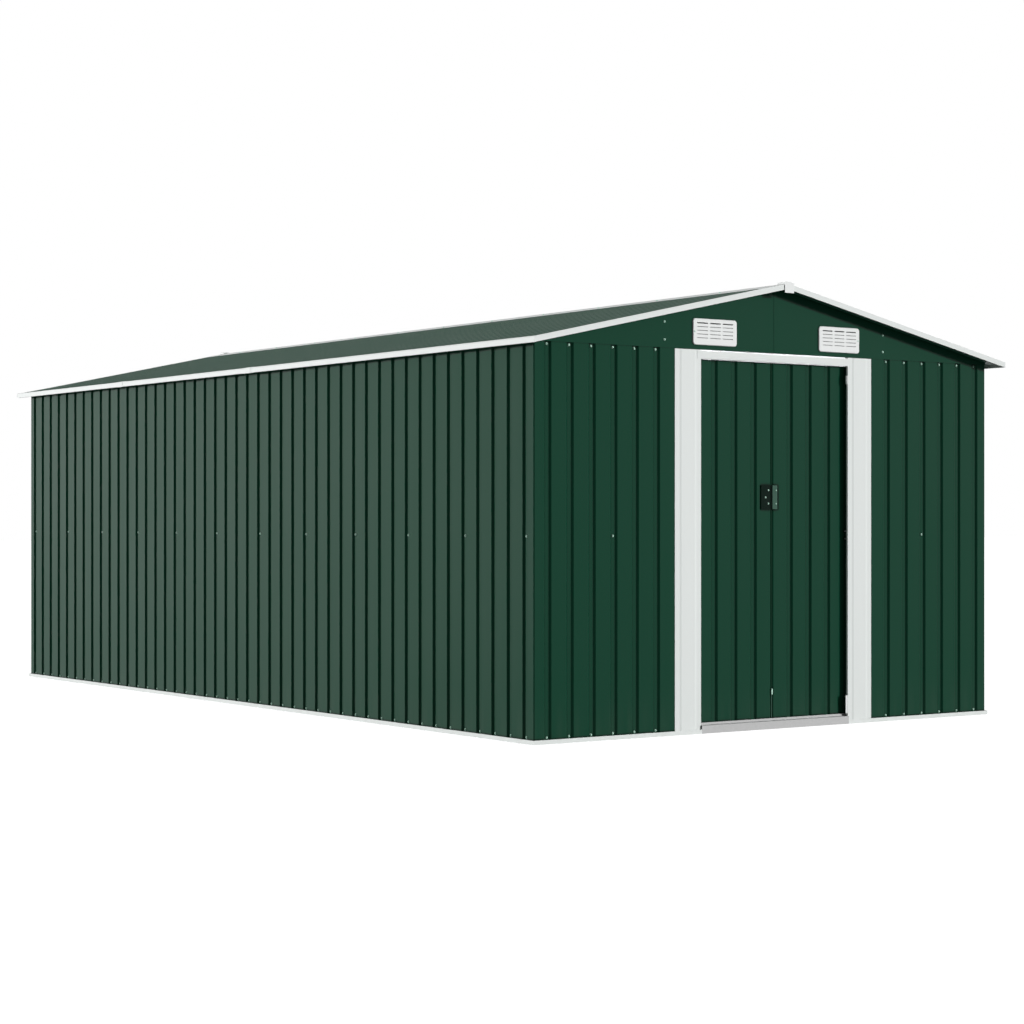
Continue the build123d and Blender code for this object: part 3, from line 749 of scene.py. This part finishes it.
def end_tree(tree, source, result, shape):
    """Ends a geometry tree the way the export needs: real faces with one material."""
    real = tree.nodes.new("GeometryNodeRealizeInstances")
    paint = tree.nodes.new("GeometryNodeSetMaterial")
    tree.links.new(shape, real.inputs[0])
    tree.links.new(real.outputs[0], paint.inputs["Geometry"])
    tree.links.new(source.outputs["Material"], paint.inputs["Material"])
    tree.links.new(paint.outputs[0], result.inputs["Geometry"])


screw_tree, source, result = start_tree(
    "screws_on_points",
    [
        ("Facing", "NodeSocketRotation", None),
        ("Washer Radius", "NodeSocketFloat", 0.005),
        ("Washer Thickness", "NodeSocketFloat", 0.0012),
        ("Head Radius", "NodeSocketFloat", 0.0038),
        ("Head Height", "NodeSocketFloat", 0.0026),
        ("Sides", "NodeSocketInt", 12),
        ("Material", "NodeSocketMaterial", None),
    ],
)


def add_round(tree, sides, low_radius, high_radius, height, lift=None):
    """A short round piece from low_radius to high_radius, moved up by lift."""
    cone = tree.nodes.new("GeometryNodeMeshCone")
    tree.links.new(sides, cone.inputs["Vertices"])
    tree.links.new(low_radius, cone.inputs["Radius Bottom"])
    tree.links.new(high_radius, cone.inputs["Radius Top"])
    tree.links.new(height, cone.inputs["Depth"])
    if lift is None:
        return cone.outputs["Mesh"]
    up = tree.nodes.new("ShaderNodeCombineXYZ")
    move = tree.nodes.new("GeometryNodeTransform")
    tree.links.new(lift, up.inputs["Z"])
    tree.links.new(cone.outputs["Mesh"], move.inputs["Geometry"])
    tree.links.new(up.outputs[0], move.inputs["Translation"])
    return move.outputs[0]


sides = source.outputs["Sides"]
washer_radius = source.outputs["Washer Radius"]
washer_thickness = source.outputs["Washer Thickness"]
head_radius = source.outputs["Head Radius"]
head_height = source.outputs["Head Height"]
rim_radius = add_math(screw_tree, "MULTIPLY", washer_radius, rim_share)
shoulder_radius = add_math(screw_tree, "MULTIPLY", head_radius, shoulder_share)
crown_radius = add_math(screw_tree, "MULTIPLY", head_radius, crown_share)
shoulder_height = add_math(screw_tree, "MULTIPLY", head_height, shoulder_rise)
crown_height = add_math(screw_tree, "SUBTRACT", head_height, shoulder_height)
crown_lift = add_math(screw_tree, "ADD", washer_thickness, shoulder_height)
join = screw_tree.nodes.new("GeometryNodeJoinGeometry")
screw_parts = [
    (washer_radius, rim_radius, washer_thickness),
    (head_radius, shoulder_radius, shoulder_height, washer_thickness),
    (shoulder_radius, crown_radius, crown_height, crown_lift),
]
for part in screw_parts:
    screw_tree.links.new(add_round(screw_tree, sides, *part), join.inputs[0])
copies = screw_tree.nodes.new("GeometryNodeInstanceOnPoints")
screw_tree.links.new(source.outputs["Geometry"], copies.inputs["Points"])
screw_tree.links.new(join.outputs[0], copies.inputs["Instance"])
screw_tree.links.new(source.outputs["Facing"], copies.inputs["Rotation"])
end_tree(screw_tree, source, result, copies.outputs[0])
print("screws_on_points has", len(screw_tree.nodes), "nodes")

# %% [markdown]
# A modifier's input is set by the identifier of its socket, not by its name, so a small helper
# looks the identifier up. It also turns the result into a plain mesh. The evaluated mesh can
# keep an empty first slot, which would hide the material, so its one slot is made again.

# %% Helpers for geometry trees


def points_piece(name, places):
    """An object that holds nothing but points, for a tree to work on."""
    mesh = bpy.data.meshes.new(name + "_points")
    mesh.from_pydata([tuple(place) for place in places], [], [])
    piece = bpy.data.objects.new(name + "_points", mesh)
    scene.collection.objects.link(piece)
    return piece


def run_tree(piece, tree, values):
    """Gives the piece a tree with these input values and returns the mesh that comes out."""
    modifier = piece.modifiers.new(tree.name, "NODES")
    modifier.node_group = tree
    inputs = [item for item in tree.interface.items_tree if item.in_out == "INPUT"]
    sockets = {item.name: item.identifier for item in inputs}
    for title, value in values.items():
        modifier[sockets[title]] = value
    bpy.context.view_layer.update()
    depsgraph = bpy.context.evaluated_depsgraph_get()
    mesh = bpy.data.meshes.new_from_object(piece.evaluated_get(depsgraph))
    bpy.data.objects.remove(piece)
    mesh.materials.clear()
    mesh.materials.append(values["Material"])
    mesh.polygons.foreach_set("material_index", [0] * len(mesh.polygons))
    return mesh


def show_piece(name, mesh, body):
    """Puts a finished mesh in the scene as a piece that rides on a body of the shed."""
    mesh.name = name
    piece = bpy.data.objects.new(name, mesh)
    scene.collection.objects.link(piece)
    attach(piece, body)
    return piece


def join_meshes(meshes):
    """One mesh out of several, with the material of the first."""
    joined = bmesh.new()
    for mesh in meshes:
        joined.from_mesh(mesh)
    merged = bpy.data.meshes.new("merged")
    joined.to_mesh(merged)
    joined.free()
    merged.materials.append(meshes[0].materials[0])
    return merged


# %% [markdown]
# The rows follow the photograph: one screw in each groove just above the base rail, one in each
# groove of the front under the gable, a few half way up where a rail runs behind, and a pair on
# each half of a gable. The back repeats the front. On the roof the rows follow the eaves, the
# purlins and the ridge.

# %% Screw places on the walls
base_row = 0.0245
rail_row = 0.7977
top_row = 1.5373
gable_screw_places = (-0.5894, 0.6042)
gable_screw_rows = (1.5784, 1.6501)
rail_step = 4
front_rail_grooves = (3, 8)
back_rail_grooves = (1, 5, 9, 13, 17, 21)

face_front = Euler((math.pi / 2, 0, 0))
face_back = Euler((-math.pi / 2, 0, 0))
face_left = Euler((0, -math.pi / 2, 0))
face_right = Euler((0, math.pi / 2, 0))

groove_y = back_face - groove_depth
groove_x = wall_half_width - groove_depth
gable_y = back_face + sheet

front_places = [(x, -groove_y, z) for x in front_grooves for z in (base_row, top_row)]
front_places += [(front_grooves[n], -groove_y, rail_row) for n in front_rail_grooves]
back_places = [(x, groove_y, z) for x in back_grooves for z in (base_row, top_row)]
back_places += [(back_grooves[n], groove_y, rail_row) for n in back_rail_grooves]
for x in gable_screw_places:
    for z in gable_screw_rows:
        front_places.append((x, -gable_y, z))
        back_places.append((x, gable_y, z))
left_places = [(-groove_x, y, base_row) for y in side_grooves]
left_places += [(-groove_x, y, rail_row) for y in side_grooves[::rail_step]]
right_places = [(-x, y, z) for x, y, z in left_places]

wall_rows = [
    ("front_screws", front_places, face_front),
    ("back_screws", back_places, face_back),
    ("left_screws", left_places, face_left),
    ("right_screws", right_places, face_right),
]
wall_screws = []
for title, places, facing in wall_rows:
    values = {"Facing": facing, "Material": finishes["screw"]}
    mesh = run_tree(points_piece(title, places), screw_tree, values)
    wall_screws.append(mesh)
    print(title, len(places), "screws,", len(mesh.polygons), "faces")
show_piece("wall_screws", join_meshes(wall_screws), "root")

# %% [markdown]
# On the roof a screw has to stand square to the slope, so its facing is the slope's own tilt.
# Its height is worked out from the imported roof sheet.

# %% Screw places on the roof
roof_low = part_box("roof_left")[0]
eave_z = roof_low.z + (groove_depth + sheet) * math.cos(roof_pitch)
eave_row_x = 1.22
purlin_row_x = 0.628
ridge_row_x = 0.135
cap_row_x = 0.075
cap_thickness = 0.001
cap_screw_count = 11
cap_screw_step = 0.422


def roof_surface(x, above=0.0):
    """Height of the flat of the roof at a distance x from the ridge."""
    return eave_z + (-roof_low.x - abs(x)) * math.tan(roof_pitch) + above / math.cos(roof_pitch)


roof_screws = []
for side in (-1, 1):
    places = []
    for row in (eave_row_x, purlin_row_x, ridge_row_x):
        height = roof_surface(row, -groove_depth)
        places += [(side * row, y, height) for y in roof_grooves[::2]]
    height = roof_surface(cap_row_x, cap_thickness)
    places += [(side * cap_row_x, y, height) for y in centred(cap_screw_count, cap_screw_step)]
    values = {"Facing": Euler((0, side * roof_pitch, 0)), "Material": finishes["screw"]}
    roof_screws.append(run_tree(points_piece("roof", places), screw_tree, values))
    print("roof side", side, len(places), "screws")
show_piece("roof_screws", join_meshes(roof_screws), "root")

# %% [markdown]
# ## Small screws
# The vents and the handles are held by smaller screws without washers to speak of. They come
# from the same tree with other sizes. Those on a door leaf ride with that leaf.

# %% Screws on vents and handles
small_screw = {
    "Washer Radius": 0.0034,
    "Washer Thickness": 0.0004,
    "Head Radius": 0.003,
    "Head Height": 0.0014,
}
handle_screw = {
    "Washer Radius": 0.0042,
    "Washer Thickness": 0.0004,
    "Head Radius": 0.0038,
    "Head Height": 0.0016,
}
vent_screw_inset = 0.008


def add_screws(name, places, facing, sizes, body):
    """Screws of these sizes at these places, as one piece on a body."""
    values = {**sizes, "Facing": facing, "Material": finishes["screw"]}
    show_piece(name, run_tree(points_piece(name, places), screw_tree, values), body)


vent_low, vent_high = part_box("vent_front_left")
vent_screw_z = (vent_low.z + vent_high.z) / 2
vent_places = [(vent_low.x + vent_screw_inset, vent_low.y, vent_screw_z)]
vent_low, vent_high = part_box("vent_front_right")
vent_screw_z = (vent_low.z + vent_high.z) / 2
vent_places.append((vent_high.x - vent_screw_inset, vent_low.y, vent_screw_z))
add_screws("vent_screws_front", vent_places, face_front, small_screw, "root")
vent_places = [(x, -y, z) for x, y, z in vent_places]
add_screws("vent_screws_back", vent_places, face_back, small_screw, "root")
print("vent screws at height", round(vent_screw_z, 3))

# %% [markdown]
# ## Pieces drawn from an outline
# The other small pieces are all an outline drawn out along one axis, so one helper makes them.
# It takes the outline as points in a plane and the two ends of the run, and it closes both ends.
# The ends are cut into triangles, so the outline may be hollow on one side.

# %% A helper for drawn-out pieces


def drawn_piece(name, outline, ends, axis, finish, body):
    """A closed piece: an outline drawn out between two places along the axis x, y or z."""
    mesh = bpy.data.meshes.new(name)
    count = len(outline)
    spots = []
    for end in ends:
        for a, b in outline:
            spots.append({"x": (end, a, b), "y": (a, end, b), "z": (a, b, end)}[axis])
    faces = [tuple(range(count)), tuple(range(2 * count - 1, count - 1, -1))]
    faces += [(n, (n + 1) % count, (n + 1) % count + count, n + count) for n in range(count)]
    mesh.from_pydata(spots, [], faces)
    shape = bmesh.new()
    shape.from_mesh(mesh)
    bmesh.ops.recalc_face_normals(shape, faces=shape.faces)
    bmesh.ops.triangulate(shape, faces=[face for face in shape.faces if len(face.verts) > 4])
    shape.to_mesh(mesh)
    shape.free()
    mesh.materials.append(finishes[finish])
    return show_piece(name, mesh, body)


def rectangle(low, high):
    """The outline of a rectangle between two corners."""
    return [(low[0], low[1]), (high[0], low[1]), (high[0], high[1]), (low[0], high[1])]


def capsule(middle, width, height, steps=6):
    """The outline of an upright rectangle with round ends."""
    radius = width / 2
    outline = []
    for end, first in ((1, 0.0), (-1, math.pi)):
        for n in range(steps + 1):
            turn = first + math.pi * n / steps
            lift = end * (height / 2 - radius)
            across = middle[0] + radius * math.cos(turn)
            outline.append((across, middle[1] + lift + radius * math.sin(turn)))
    return outline


print("outline helpers ready")

# %% [markdown]
# ## Where the two leaves meet
# A green rubber seal on the edge of the right leaf closes the gap between the leaves. Its dark
# green is also a painted shade, standing for the shade on the leaf edges where they meet. It
# stops short of the left leaf, so both can slide away. Low down the right leaf has a foot bolt, an
# oval knob over a thin rod that drops into the threshold. Depths are told from the face of the
# leaf, and those that stand in front of it are below zero.

# %% Seal and foot bolt
leaf_low, leaf_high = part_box("right_door_panel")
leaf_face = leaf_low.y
seal_low_x = -0.0019
seal_high_x = 0.0045
seal_setback = 0.004
seal_thickness = 0.002
seal_front = leaf_face + seal_setback
seal_outline = rectangle((seal_low_x, seal_front), (seal_high_x, seal_front + seal_thickness))
seal_ends = (leaf_low.z, leaf_high.z)
# The dark seal also stands for the shade where the leaves meet.
drawn_piece("door_edge_seal", seal_outline, seal_ends, "z", "seal", "right_door")

bolt_x = -0.0007
knob_middle_z = 0.1515
knob_width = 0.006
knob_height = 0.025
knob_depths = (-0.004, -0.001)
stem_half = 0.0012
stem_low_z = 0.145
stem_high_z = 0.158
stem_depths = (-0.0015, 0.0045)
rod_half = 0.0009
rod_low_z = 0.044
rod_high_z = 0.142
rod_depths = (0.0005, 0.0042)
knob_outline = capsule((bolt_x, knob_middle_z), knob_width, knob_height)
stem_outline = rectangle((bolt_x - stem_half, stem_low_z), (bolt_x + stem_half, stem_high_z))
rod_outline = rectangle((bolt_x - rod_half, rod_low_z), (bolt_x + rod_half, rod_high_z))
bolt_parts = [
    ("foot_bolt_knob", knob_outline, knob_depths, "screw", "zinc_rail"),
    ("foot_bolt_stem", stem_outline, stem_depths, "grip", "dark_handle"),
    ("foot_bolt_rod", rod_outline, rod_depths, "grip", "dark_handle"),
]
for name, outline, depths, finish, slot in bolt_parts:
    ends = [leaf_face + depth for depth in depths]
    drawn_piece(name, outline, ends, "y", finish, "right_door")
print("seal from", round(leaf_low.z, 3), "to", round(leaf_high.z, 3))

# %% [markdown]
# ## The handles
# The left handle is a flat dark pull plate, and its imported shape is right. The right one is a
# paler grip that slopes away from the edge over a dark plate, so that fingers can hook behind it.
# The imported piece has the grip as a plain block. A plate and a sloping grip stand for it here.

# %% The right handle and the screws of both
handle_low, handle_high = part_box("right_door_handle")
handle_middle_z = (handle_low.z + handle_high.z) / 2
plate_depth = 0.003
grip_half = 0.049
grip_profile = [(0.0006, 0.003), (0.0006, 0.005), (0.0170, 0.0126), (0.0188, 0.0126), (0.0204, 0.003)]
grip_screw_depth = 0.0113
grip_screws = [(0.0145, 0.0286), (0.0145, -0.0268)]
pull_screw_depth = 0.0025
pull_screws = [(-0.0199, 0.0286), (-0.0355, 0.0), (-0.0203, -0.0257)]

plate_outline = rectangle((handle_low.x, handle_low.z), (handle_high.x, handle_high.z))
grip_outline = [(x, leaf_face - depth) for x, depth in grip_profile]
plate_ends = (leaf_face - plate_depth, leaf_face)
grip_ends = (handle_middle_z - grip_half, handle_middle_z + grip_half)
handle_parts = [
    ("right_handle_plate", plate_outline, plate_ends, "y", "dark_handle"),
    ("right_handle_grip", grip_outline, grip_ends, "z", "grip"),
]
for name, outline, ends, axis, finish in handle_parts:
    piece = drawn_piece(name, outline, ends, axis, finish, "right_door")
    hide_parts("right_door_handle")

pull_places = [(x, leaf_face - pull_screw_depth, handle_middle_z + z) for x, z in pull_screws]
add_screws("left_handle_screws", pull_places, face_front, handle_screw, "left_door")
grip_places = [(x, leaf_face - grip_screw_depth, handle_middle_z + z) for x, z in grip_screws]
add_screws("right_handle_screws", grip_places, face_front, small_screw, "right_door")
print("handle middle at", round(handle_middle_z, 3))

# %% [markdown]
# ## Stops and sleeves
# Two white stops sit on the inner edge of the right jamb, a long one at the foot and a short
# round-ended one near the top. The eave trims are too long to fold from one strip, so each is
# made of three, and a thin sleeve covers each joint.

# %% Jamb stops
jamb_edge = -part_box("door_jamb_left")[1].x
low_stop_reach = 0.0105
low_stop_front = front_face - 0.0003
low_stop_back = front_face + 0.0022
low_stop_low_z = 0.0445
low_stop_high_z = 0.1195
high_stop_reach = 0.0046
high_stop_middle = (front_face + 0.0045, 1.452)
high_stop_width = 0.0086
high_stop_height = 0.038
low_stop = rectangle((low_stop_front, low_stop_low_z), (low_stop_back, low_stop_high_z))
high_stop = capsule(high_stop_middle, high_stop_width, high_stop_height)
stops = [
    ("low_jamb_stop", low_stop, low_stop_reach),
    ("high_jamb_stop", high_stop, high_stop_reach),
]
for name, outline, stop_reach in stops:
    ends = (jamb_edge - stop_reach, jamb_edge)
    drawn_piece(name, outline, ends, "x", "white_plastic", "root")
print("jamb edge at", round(jamb_edge, 4))

# %% Trim sleeves
sleeve_places = (1.149, -0.194)
sleeve_half = 0.032
sleeve_proud = 0.0012
sleeve_inside = 0.0004
trim_drop = 0.022
trim_lap = 0.020
trim_lip = 0.011
trim_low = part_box("eave_trim_left")[0]
trim_top = trim_low.z + trim_drop / math.cos(roof_pitch)
lap_rise = trim_lap * math.tan(roof_pitch)

for side, side_name in ((-1, "left"), (1, "right")):
    edge = side * -trim_low.x
    lap = edge - side * trim_lap
    lip = edge - side * trim_lip
    outer = edge + side * sleeve_proud
    inner = edge - side * sleeve_inside
    sleeve_outline = [
        (lap, trim_top + lap_rise + sleeve_proud),
        (outer, trim_top + sleeve_proud),
        (outer, trim_low.z - sleeve_proud),
        (lip, trim_low.z - sleeve_proud),
        (lip, trim_low.z + sleeve_inside),
        (inner, trim_low.z + sleeve_inside),
        (inner, trim_top - sleeve_inside),
        (lap, trim_top + lap_rise - sleeve_inside),
    ]
    for number, middle in enumerate(sleeve_places, start=1):
        name = f"trim_sleeve_{side_name}_{number}"
        ends = (middle - sleeve_half, middle + sleeve_half)
        drawn_piece(name, sleeve_outline, ends, "y", "white_trim", "root")
print("sleeves under height", round(trim_top, 4))
